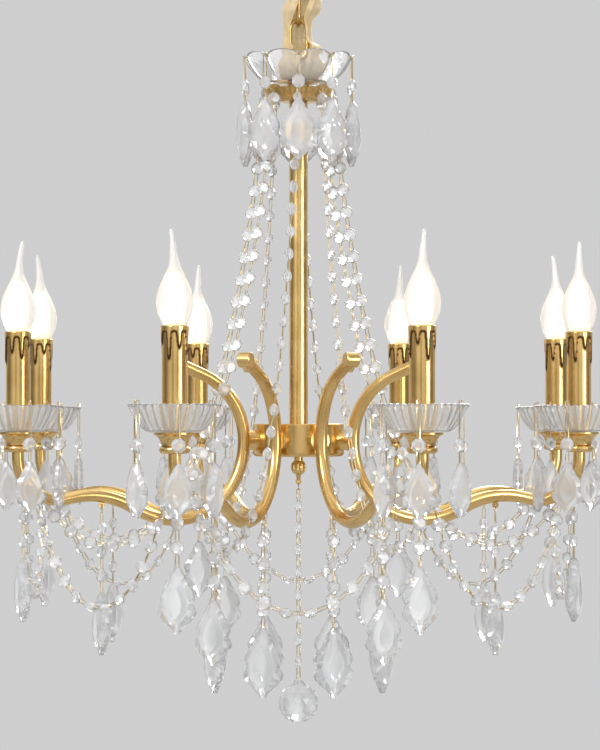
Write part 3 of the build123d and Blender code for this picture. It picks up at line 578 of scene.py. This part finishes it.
def leafShape(size):
    # The scalloped edge, and inside it two smooth drop shapes whose half width is
    # sin(pi * fall^1.35)^0.7, the inner one raised highest and flat
    length, width, thick = size
    fall, half = np.array(leafEdge).T
    edge = np.concatenate([np.stack([half, fall], 1), np.stack([-half[::-1], fall[::-1]], 1)])
    smooth = np.clip(np.sin(pi * fall**1.35), 0, 1) ** 0.7
    smooth = np.stack([np.append(smooth, -smooth[::-1]), edge[:, 1]], 1)
    rings = [(edge, leafRimShare)]
    for across, down, start, rise in leafFacets:
        rings.append((smooth * np.array([across, down]) + np.array([0, start]), rise))
    count, layers = len(edge), []
    for ring, share in rings:
        for side in (1, -1):
            depth = np.full(count, side * share * thick / 2)
            layers.append(np.column_stack([depth, ring[:, 0] * width / 2, -ring[:, 1] * length]))
    points = np.concatenate(layers)
    k = np.arange(count)
    n = (k + 1) % count
    # Layers with even numbers lie in front and odd ones behind, from the edge inwards
    pairs = ((0, 1), (0, 2), (2, 4), (1, 3), (3, 5))
    quads = [
        np.stack([a * count + k, a * count + n, b * count + n, b * count + k], 1) for a, b in pairs
    ]
    return points, [np.concatenate(quads), (k + 4 * count)[None], (k + 5 * count)[None]]


oneBead = beadShape()
leaves = {name: leafShape(size) for name, size in leafSizes.items()}

# Wire links: flattened loops of wire that join the crystals, and the bails that drops hang by. The
# two turns, in radians, are about the way a loop runs.
link = dict(
    wire=0.58, halfGap=1.65, chamfer=0.8, into=1.6, intoLeaf=2.2, leafGap=0.3, endGap=0.5,
    turn=0.6, pendantTurn=1.4
)
bail = dict(drop=7.0, halfGap=2.0, wire=0.5, pinR=1.0, toWire=0.8)
# From a bead's middle to where the CAD link starts
endRoom = bead["radius"] * np.cos(pi / bead["sides"]) + link["endGap"]


def wireLoops(starts, ends, sideways, halfGap=link["halfGap"], wire=link["wire"]):
    # A loop goes down one side and up the other with cut corners. Its eight corners each carry a
    # square of wire, and the three tables say how far each corner lies aside and turns outwards.
    starts, ends, sideways = np.broadcast_arrays(*np.atleast_2d(starts, ends, sideways))
    length = np.linalg.norm(ends - starts, axis=1)[:, None]
    along = unit(ends - starts)
    sideways = unit(sideways - (sideways * along).sum(1)[:, None] * along)
    normal = np.cross(along, sideways)
    cut, zero, one = link["chamfer"], np.zeros_like(length), np.ones_like(length)
    down, up = [cut * one, length - cut, length], [length, length - cut, cut * one]
    reach = np.hstack([*down, *up, zero, zero])
    aside = np.array([1, 1, 0.4, -0.4, -1, -1, -0.4, 0.4]) * halfGap
    centre = starts[:, None] + reach[..., None] * along[:, None]
    centre = centre + aside[None, :, None] * sideways[:, None]
    outA = np.array([-0.4, 0.4, 1, 1, 0.4, -0.4, -1, -1])[None, :, None] * along[:, None]
    outS = np.array([0.9, 0.9, 0.4, -0.4, -0.9, -0.9, -0.4, 0.4])[None, :, None] * sideways[:, None]
    outward = unit(outA + outS) * wire
    across = np.broadcast_to(normal[:, None], outward.shape) * wire
    ring = np.stack([centre + outward, centre + across, centre - outward, centre - across], axis=2)
    loopFaces = gridShape(ring[0], closeRows=True)[1]
    firstPoints = (np.arange(len(ring)) * ring.shape[1] * ring.shape[2])[:, None, None]
    faces = [(face[None] + firstPoints).reshape(-1, 4) for face in loopFaces]
    return ring.reshape(-1, 3), faces


def linksAlong(stops, normal, first, last, turn=link["turn"]):
    # A loop between each two neighbouring stops; first and last say how much shorter the first
    # one's start and the last one's end are
    way = unit(np.diff(stops, axis=0))
    room = bead["radius"] - link["into"]
    startRoom = np.full((len(way), 1), room)
    endRoomHere = startRoom.copy()
    startRoom[0], endRoomHere[-1] = first, last
    sideways = np.cross(way, normal) * np.cos(turn) + normal * np.sin(turn)
    return wireLoops(stops[:-1] + way * startRoom, stops[1:] - way * endRoomHere, sideways)


def hangingBeads(start, end, curve, pitch, twist=0.0):
    # A catenary z = c cosh(x / c) through both ends, with beads at even steps of its length
    start, end = np.array(start, float), np.array(end, float)
    span, rise = np.hypot(*(end - start)[:2]), end[2] - start[2]
    lowest = span / 2 - curve * asinh(rise / (2 * curve * sinh(span / (2 * curve))))
    begin = curve * sinh(-lowest / curve)
    total = curve * sinh((span - lowest) / curve) - begin
    count = round(total / pitch)
    arc = begin + (np.arange(count) + 0.5) * total / count
    level = np.append((end - start)[:2] / span, 0)
    x = curve * np.arcsinh(arc / curve)
    drop = curve * (np.cosh(x / curve) - np.cosh(lowest / curve))
    centres = start + (x + lowest)[:, None] * level + drop[:, None] * zAxis
    way = unit(level + (arc / curve)[:, None] * zAxis)
    side = np.array([-level[1], level[0], 0])
    turns = (radians(twist) * np.arange(count))[:, None]
    facing = side * np.cos(turns) + np.cross(way, side) * np.sin(turns)
    crystals = copiesOf(oneBead, centres, way, facing)
    wires = linksAlong(np.vstack([start, centres, end]), side, 0, 0)
    return crystals, wires


def hangingDrop(top, topWire, beads, leaf=None, linkTurn=link["turn"]):
    # Beads at even steps straight down from a point, facing outwards, and a leaf under the last
    pitch, top = strands["pitch"], np.array(top, float)
    down = np.array([0.0, 0.0, -1.0])
    centres = top + down * (topWire + endRoom + pitch * np.arange(beads))[:, None]
    crystals, stops = [copiesOf(oneBead, centres, down, xAxis)], [top, *centres]
    if leaf:
        leafTop = centres[-1] + down * (pitch - endRoom + link["leafGap"])
        crystals.append(copiesOf(leaves[leaf], leafTop, xAxis, zAxis))
        stops.append(leafTop + down * link["intoLeaf"])
    return joinShapes(crystals), linksAlong(np.array(stops), xAxis, 0, 0, linkTurn), centres[-1]


def bailLoop(eyeR, eyeZ):  # the wire bail whose top bar turns in an eye's hole
    top = np.array([eyeR, 0, eyeZ + bail["wire"]])
    foot = np.array([eyeR, 0, eyeZ - bail["drop"]])
    return wireLoops(top, foot, yAxis, bail["halfGap"], bail["wire"])


# The strands start in the cup's holes and end beside the pins at the arm ends, where the swags
# hang. Curve is a catenary's c, and twist turns each bead from the last, in degrees.
strands = dict(
    pitch=23.0, curve=61.7, topDrop=3.0, holeR=33.0, footR=284.75, footSide=10.5, footZ=-555.27
)
swag = dict(curve=54.5, endR=286.75, endSide=13.0, twist=40.0)
armEyes = dict(hump=(211.84, -573.58), end=(292.79, -561.11))
lowEye = np.hypot(*(lowDropLow + lowDropHigh)[:2]) / 2, lowDropHigh[2] - bail["pinR"]
armTurn = 2 * pi / armCount


def addPair(name, crystals, wires, body, node, angles):
    addPiece(name + "Crystals", aroundAxis(crystals, angles), cutCrystal, body, [node])
    addPiece(name + "Wires", aroundAxis(wires, angles), wireBrass, body, (), 40)


strandTop = (
    strands["holeR"] * np.cos(armTurn / 2), strands["holeR"] * np.sin(armTurn / 2),
    cupLow[2] + brassCup["rise"] - strands["topDrop"]
)
strandFoot = (strands["footR"], strands["footSide"], strands["footZ"])
crystals, wires = hangingBeads(strandTop, strandFoot, strands["curve"], strands["pitch"])
addPair("longStrand", crystals, wires, "frame", "long_strands", armAngles)

swagStart = (swag["endR"], swag["endSide"], strands["footZ"])
swagEnd = (
    swag["endR"] * np.cos(armTurn) + swag["endSide"] * np.sin(armTurn),
    swag["endR"] * np.sin(armTurn) - swag["endSide"] * np.cos(armTurn), strands["footZ"]
)
crystals, wires = hangingBeads(swagStart, swagEnd, swag["curve"], strands["pitch"], swag["twist"])
addPair("swag", crystals, wires, "frame", "swags", armAngles)

shortWire = strands["pitch"] - 2 * endRoom
bailFoot = bail["drop"] + bail["toWire"]


def armDrop(eye, beads, leaf):
    crystals, wires, _ = hangingDrop((eye[0], 0, eye[1] - bailFoot), shortWire, beads, leaf)
    return crystals, joinShapes([wires, bailLoop(*eye)])


beadCounts = dict(low=4, hump=3, end=2, small=1, dish=1, pendant=8)
lowCrystals, lowWires = armDrop(lowEye, beadCounts["low"], "long")
for n in range(armCount):
    addPair(f"lowDrop{n + 1}", lowCrystals, lowWires, f"low_drop_{n + 1}_body",
            f"low_drop_{n + 1}", armAngles[n : n + 1])
humpDrop = armDrop(armEyes["hump"], beadCounts["hump"], "mid")
addPair("humpDrop", *humpDrop, "frame", "hump_drops", armAngles)
endDrop = armDrop(armEyes["end"], beadCounts["end"], "mid")
addPair("endDrop", *endDrop, "frame", "end_drops", armAngles)

# Six drops round each bobeche hang through its rim, and ten round the dish over its cusps. beadAt
# says how far a bead's top hangs under the bobeche.
bobecheDrop = dict(count=6, radius=41.0, above=3.0, beadAt=4.667)
dishDrop = dict(
    count=10, radius=57.64, top=-117.9, wire=23.0, hookStart=0.3, hookIn=5.5, hookDown=4.0
)
hookTop = bobecheHigh[2] + bobecheDrop["above"]
hookFoot = bobecheLow[2] - bobecheDrop["beadAt"]
hookLength = hookTop - hookFoot + bead["radius"] - endRoom
dropAngles = (np.arange(bobecheDrop["count"]) + 0.5) * 2 * pi / bobecheDrop["count"]
smallTop = (bobecheDrop["radius"], 0, hookTop)
crystals, wires, _ = hangingDrop(smallTop, hookLength, beadCounts["small"], "small")
ringCrystals = movedBy(aroundAxis(crystals, dropAngles), x=candleR)
ringWires = movedBy(aroundAxis(wires, dropAngles), x=candleR)
addPair("bobecheDrop", ringCrystals, ringWires, "frame", "bobeche_drops", armAngles)
dishTop = (dishDrop["radius"], 0, dishDrop["top"])
crystals, wires, _ = hangingDrop(dishTop, dishDrop["wire"], beadCounts["dish"], "mid")
hookStart = np.array(dishTop) + dishDrop["hookStart"] * (xAxis + zAxis)
hookEnd = hookStart - np.array([dishDrop["hookIn"], 0, dishDrop["hookDown"]])
hook = wireLoops(hookStart, hookEnd, yAxis)
dishAngles = np.arange(dishDrop["count"]) * 2 * pi / dishDrop["count"] - pi / 2
dishWires = joinShapes([wires, hook])
addPair("dishDrop", crystals, dishWires, "frame", "dish_drops", dishAngles)

# The middle pendant and its faceted ball
ball = dict(radius=20.5, columns=16, rows=9, top=6.0, tipR=2.6, topShare=0.35, linkAbove=3.0)


def ballShape(centre):
    # Rings of latitude, each turned half a column from the last and joined to it by triangles,
    # with a cone up to the hole at the top
    tilt = np.arcsin(np.sqrt(1 - ball["topShare"] ** 2))
    latitude = np.linspace(-tilt, tilt, ball["rows"])
    radii = np.append(ball["radius"] * np.cos(latitude), ball["tipR"])
    tipHeight = ball["radius"] * np.sin(tilt) + ball["top"]
    heights = np.append(ball["radius"] * np.sin(latitude), tipHeight)
    k = np.arange(ball["columns"])
    turn = (k[None, :] + 0.5 * (np.arange(len(radii)) % 2)[:, None]) * 2 * pi / ball["columns"]
    points = np.stack([radii[:, None] * np.cos(turn), radii[:, None] * np.sin(turn),
                       heights[:, None] + 0 * turn + centre], axis=2).reshape(-1, 3)
    n, faces = (k + 1) % ball["columns"], []
    for row in range(len(radii) - 1):
        here, above = row * ball["columns"], (row + 1) * ball["columns"]
        if row % 2 == 0:
            faces.append(np.stack([here + k, here + n, above + k], 1))
            faces.append(np.stack([here + n, above + n, above + k], 1))
        else:
            faces.append(np.stack([here + k, above + n, above + k], 1))
            faces.append(np.stack([here + k, here + n, above + n], 1))
    return points, faces + [k[None], k[None] + (len(radii) - 1) * ball["columns"]]


pendantEyeZ = pendantHigh[2] - bail["pinR"]
ballCentre = pendantLow[2] + ball["radius"] * np.sqrt(1 - ball["topShare"] ** 2)
crystals, wires, lastBead = hangingDrop(
    (0, 0, pendantEyeZ - bailFoot), shortWire, beadCounts["pendant"], linkTurn=link["pendantTurn"]
)
ballEye = [0, 0, ballCentre + ball["radius"] + ball["linkAbove"]]
ballLink = linksAlong(np.array([lastBead, ballEye]), xAxis, bead["radius"] - link["into"], 0,
                      link["pendantTurn"])
pendantCrystals = joinShapes([crystals, ballShape(ballCentre)])
pendantWires = joinShapes([wires, ballLink, bailLoop(0, pendantEyeZ)])
addPair("pendant", pendantCrystals, pendantWires, "pendant", "centre_pendant", np.array([0.0]))
print("crystals made")

# The gathered cloth sleeve round the chain, open at the front. Each drift wave adds
# size * sin(lift / height + phase).
cloth = dict(
    folds=9, fineFolds=17, fineShare=0.45, foldDepth=1.5, foldLean=0.55, thick=0.9, columns=190,
    rows=150, seam=47.0, settle=0.99, driftWaves=((0.9, 17.0, 0.0), (0.5, 7.3, 1.0)),
    fineDrift=1.7, crease=0.35, creaseHeight=2.6, creases=5
)

# Height above the dish's floor, the ring's radius, how far it lies off the axis, and the width of
# the gap in front
clothRings = [
    (0, 17, 0, 8), (9, 22.5, 3, 8), (19, 24, 3, 12), (27, 20, 2, 20), (34, 22, 4, 21),
    (42, 16.5, -0.5, 21), (58, 16, -1, 18), (66, 17.5, 0, 13), (74, 21.5, 3, 12),
    (85, 19, 6, 13), (98, 20.5, 3, 15), (108, 17, 0, 18),
]


def clothShape():
    # Rings through the list, open at the front, with broad and fine pleats whose phase drifts with
    # the height, and small creases across them
    lift, radius, off, gap = smoothThrough(clothRings, cloth["rows"]).T
    lift = np.clip(lift, 0, sleeveHigh[2] - sleeveLow[2])
    share = np.linspace(0, 1, cloth["columns"])[None, :]
    halfGap = np.arcsin(gap / 2 / radius)[:, None]
    turn = -pi / 2 + halfGap + (2 * pi - 2 * halfGap) * share
    waves = [size * np.sin(lift / height + phase) for size, height, phase in cloth["driftWaves"]]
    drift = sum(waves)[:, None]
    broad = np.sin(2 * pi * cloth["folds"] * share + drift)
    fine = np.sin(2 * pi * cloth["fineFolds"] * share - cloth["fineDrift"] * drift)
    pleat = broad + cloth["fineShare"] * fine
    fold = cloth["foldDepth"] * (1 - cloth["foldLean"] * pleat)
    inside = radius[:, None] - cloth["thick"] - fold
    crease = cloth["crease"] * np.sin(lift / cloth["creaseHeight"])[:, None]
    inside += crease * np.sin(cloth["creases"] * turn)
    height = sleeveLow[2] + cloth["thick"] + lift[:, None] * cloth["settle"] + 0 * turn
    return np.stack([inside * np.cos(turn) + off[:, None], inside * np.sin(turn), height], axis=2)


clothGrid = clothShape()
acrossCloth = np.linalg.norm(np.diff(clothGrid, axis=1), axis=2)
upCloth = np.linalg.norm(np.diff(clothGrid, axis=0), axis=2)
clothWidth, clothLength = acrossCloth.sum(1).mean(), upCloth.sum(0).mean()
clothU = np.linspace(0, clothWidth, cloth["columns"])[None, :] + 0 * clothGrid[:, :, 0]
clothV = np.linspace(0, clothLength, cloth["rows"])[:, None] + 0 * clothGrid[:, :, 0]

# The sheet crosses two joints, so it is made as two pieces that meet at a seam row. Each one's
# bend holds two heights above the dish's floor.
fromSeam = clothGrid[:, :, 2].mean(1) - sleeveLow[2] - cloth["seam"]
seamRow = int(np.argmin(abs(fromSeam)))
clothParts = dict(
    chainSleeveFoot=dict(
        rows=slice(0, seamRow + 1), bodies=("frame", "lower_link"), bend=(14, 42),
        standsFor=["chain_sleeve"], on=["topDishGlass", "chain_link_lower"]
    ),
    chainSleeveTop=dict(
        rows=slice(seamRow, None), bodies=("lower_link", "upper_link"), bend=(51, 78),
        standsFor=[], on=["chainSleeveFoot", "chain_link_lower"]
    ),
)
for name, part in clothParts.items():
    rows = part["rows"]
    sheetShape = gridShape(clothGrid[rows], closeCols=False)
    piece = addPiece(name, sheetShape, satinCloth, None, part["standsFor"], 180)
    cornerIndex = np.zeros(len(piece.data.loops), np.int32)
    piece.data.loops.foreach_get("vertex_index", cornerIndex)
    clothUv = np.stack([clothU[rows].ravel(), clothV[rows].ravel()], axis=1)[cornerIndex]
    clothLayer = piece.data.uv_layers.new(name="cloth")
    clothLayer.data.foreach_set("uv", clothUv.astype(np.float32).ravel())
    thickness = piece.modifiers.new("thickness", "SOLIDIFY")
    thickness.thickness = cloth["thick"] * mm
    thickness.offset = 0
    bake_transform(piece)

# Surroundings. Only the camera sees the plain pale tone; brass and glass reflect the banded room.
pale = 0.62
world = bpy.data.worlds.new("paleRoom")
bpy.context.scene.world = world
world.use_nodes = True
worldNodes = world.node_tree.nodes
background = worldNodes["Background"]
direction = worldNodes.new("ShaderNodeTexCoord")
upward = worldNodes.new("ShaderNodeSeparateXYZ")
roomShade = worldNodes.new("ShaderNodeMapRange")
roomShade.inputs["From Min"].default_value = -1.0
roomShade.inputs["To Min"].default_value = 0.3
roomShade.inputs["To Max"].default_value = 1.25
sideways = worldNodes.new("ShaderNodeMapRange")
sideways.inputs["From Min"].default_value = -1.0
# Pale screens with darker gaps between them, left to right: each one's place and tone
bandStops = [
    (0.0, 0.28), (0.16, 1.0), (0.30, 0.95), (0.40, 0.38), (0.47, 1.15), (0.66, 1.05),
    (0.80, 0.35), (0.90, 0.9), (1.0, 0.3),
]
roomBands = worldNodes.new("ShaderNodeValToRGB")
setStops(roomBands, [(place, (tone, tone, tone)) for place, tone in bandStops])
roomTone = worldNodes.new("ShaderNodeMath")
roomTone.operation = "MULTIPLY"
seen = worldNodes.new("ShaderNodeLightPath")
choice = worldNodes.new("ShaderNodeMix")
choice.inputs["B"].default_value = pale
joinNodes(
    world.node_tree,
    (direction.outputs["Generated"], upward.inputs["Vector"]),
    (upward.outputs["Z"], roomShade.inputs["Value"]),
    (upward.outputs["X"], sideways.inputs["Value"]),
    (sideways.outputs["Result"], roomBands.inputs["Fac"]),
    (roomShade.outputs["Result"], roomTone.inputs[0]),
    (roomBands.outputs["Color"], roomTone.inputs[1]),
    (seen.outputs["Is Camera Ray"], choice.inputs["Factor"]),
    (roomTone.outputs[0], choice.inputs["A"]),
    (choice.outputs["Result"], background.inputs["Color"]),
)

floorSize, floorZ = 14.0, -4.5  # half its width, and its height, in metres
floorMesh = bpy.data.meshes.new("paleFloor")
floorCorners = [
    (-floorSize, -floorSize, floorZ), (floorSize, -floorSize, floorZ),
    (floorSize, floorSize, floorZ), (-floorSize, floorSize, floorZ),
]
floorMesh.from_pydata(floorCorners, [], [(0, 1, 2, 3)])
floorPaint = makeMaterial(
    "paleFloor", (0.56, 0.56, 0.56), (0.60, 0.60, 0.60), (0.7, 0.8), cloud=2.0
)[0]
floorMesh.materials.append(floorPaint)
floor = bpy.data.objects.new("paleFloor", floorMesh)
bpy.context.scene.collection.objects.link(floor)

# Area lamps: places and sizes in metres
lamps = dict(
    keyLamp=dict(place=(-1.5, -2.2, 0.9), size=0.9, power=42.0),
    fillLamp=dict(place=(1.9, -1.7, -0.2), size=1.1, power=18.0),
    backLamp=dict(place=(0.6, 1.9, 0.6), size=0.9, power=24.0),
)
middle = np.array([0, 0, -0.45])  # all lamps point here
for name, lamp in lamps.items():
    light = bpy.data.lights.new(name, "AREA")
    light.size, light.energy = lamp["size"], lamp["power"]
    lampObject = bpy.data.objects.new(name, light)
    bpy.context.scene.collection.objects.link(lampObject)
    lampObject.location = lamp["place"]
    away = np.array(lamp["place"]) - middle
    lampObject.rotation_euler = (np.arctan2(np.hypot(away[0], away[1]), away[2]), 0,
                                 np.arctan2(away[1], away[0]) + pi / 2)

# The photograph's camera: the axis and horizon are where they lie in the picture, and it looks a
# little upwards. Focal length is in pixels, distance and level in metres.
photo = dict(
    width=600, height=750, axisX=298.5, horizonY=425.0, focal=2658.0, distance=2.727, level=-0.4941
)
cameraData = bpy.data.cameras.new("photoCamera")
cameraData.sensor_width = 36.0
cameraData.lens = photo["focal"] / photo["height"] * cameraData.sensor_width
cameraData.shift_x = (photo["width"] / 2 - photo["axisX"]) / photo["height"]
camera = bpy.data.objects.new("photoCamera", cameraData)
bpy.context.scene.collection.objects.link(camera)
camera.location = (0, -photo["distance"], photo["level"])
pitch = atan((photo["horizonY"] - photo["height"] / 2) / photo["focal"])
camera.rotation_euler = (pi / 2 + pitch, 0, 0)
bpy.context.scene.camera = camera
bpy.context.scene.view_settings.view_transform = "Standard"
print("lamps and camera placed")
